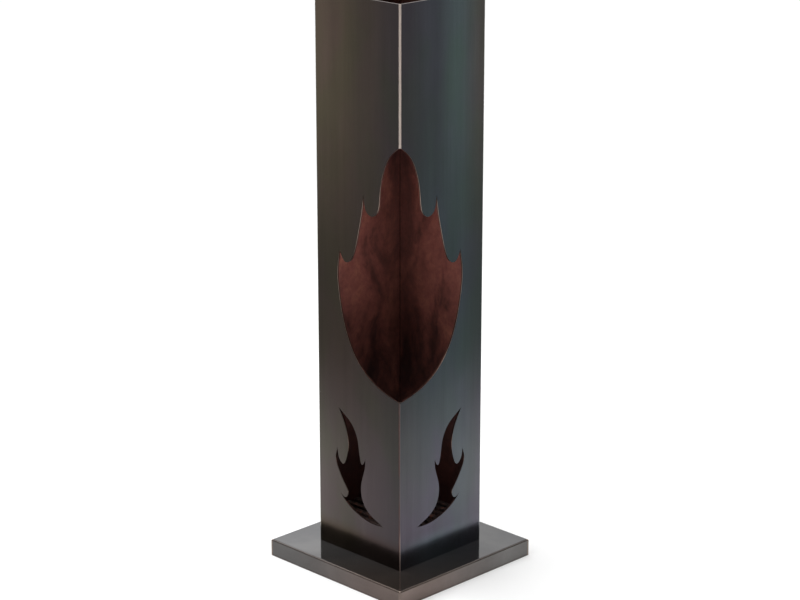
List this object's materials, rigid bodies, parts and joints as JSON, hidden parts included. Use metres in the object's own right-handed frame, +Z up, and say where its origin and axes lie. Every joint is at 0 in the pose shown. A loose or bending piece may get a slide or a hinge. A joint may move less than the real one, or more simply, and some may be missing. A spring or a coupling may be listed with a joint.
{
  "type": "chiminea",
  "caption": "Tall square steel fire column with flame-shaped openings round its front corner, on a wider folded base tray, with a lift-out grate and ash pan.",
  "frame": {"origin": "on the ground, under the centre of the column and the base tray", "axes": "+Z up; the walls are parallel to X and Y; the front corner, which carries the flame opening, points to +X and -Y"},
  "size_m": [0.4, 0.4, 1.25],
  "materials": {
    "column_steel": "dark oiled oxide skin with soft vertical temper colours, satin to gloss",
    "tray_steel": "dark oiled oxide skin, glossy on top",
    "weld_steel": "dressed weld, lightly heat tinted",
    "inner_steel": "raw folded steel, rust brown from heat",
    "pan_steel": "raw sheet with soot and ash dust",
    "grate_steel": "black scaled bar steel"
  },
  "bodies": {
    "base": {"base_tray": "tray_steel", "tray_corner_welds": "weld_steel", "locator_front": "inner_steel", "locator_left": "inner_steel", "locator_right": "inner_steel", "locator_back": "inner_steel", "locator_welds": "weld_steel"},
    "column": {"left_shell": "column_steel", "right_shell": "column_steel", "front_seam_weld": "weld_steel", "front_root_welds": "weld_steel", "back_seam_weld": "weld_steel"},
    "pan": {"ash_pan": "pan_steel", "pan_corner_welds": "weld_steel"},
    "grate": {"grate_bar_1": "grate_steel", "grate_bar_2": "grate_steel", "grate_bar_3": "grate_steel", "grate_bar_4": "grate_steel", "grate_bar_5": "grate_steel", "grate_bar_6": "grate_steel", "grate_bar_7": "grate_steel", "grate_bar_8": "grate_steel", "grate_bar_9": "grate_steel", "grate_rail_left": "grate_steel", "grate_rail_right": "grate_steel", "grate_welds": "weld_steel"}
  },
  "joints": [
    {"name": "column_lift", "type": "slide", "parent": "base", "child": "column", "axis": [0, 0, 1], "range_m": [0, 0.2]},
    {"name": "ash_pan_lift", "type": "slide", "parent": "base", "child": "pan", "axis": [0, 0, 1], "range_m": [0, 1.3]},
    {"name": "grate_lift", "type": "slide", "parent": "pan", "child": "grate", "axis": [0, 0, 1], "range_m": [0, 1.3]}
  ]
}
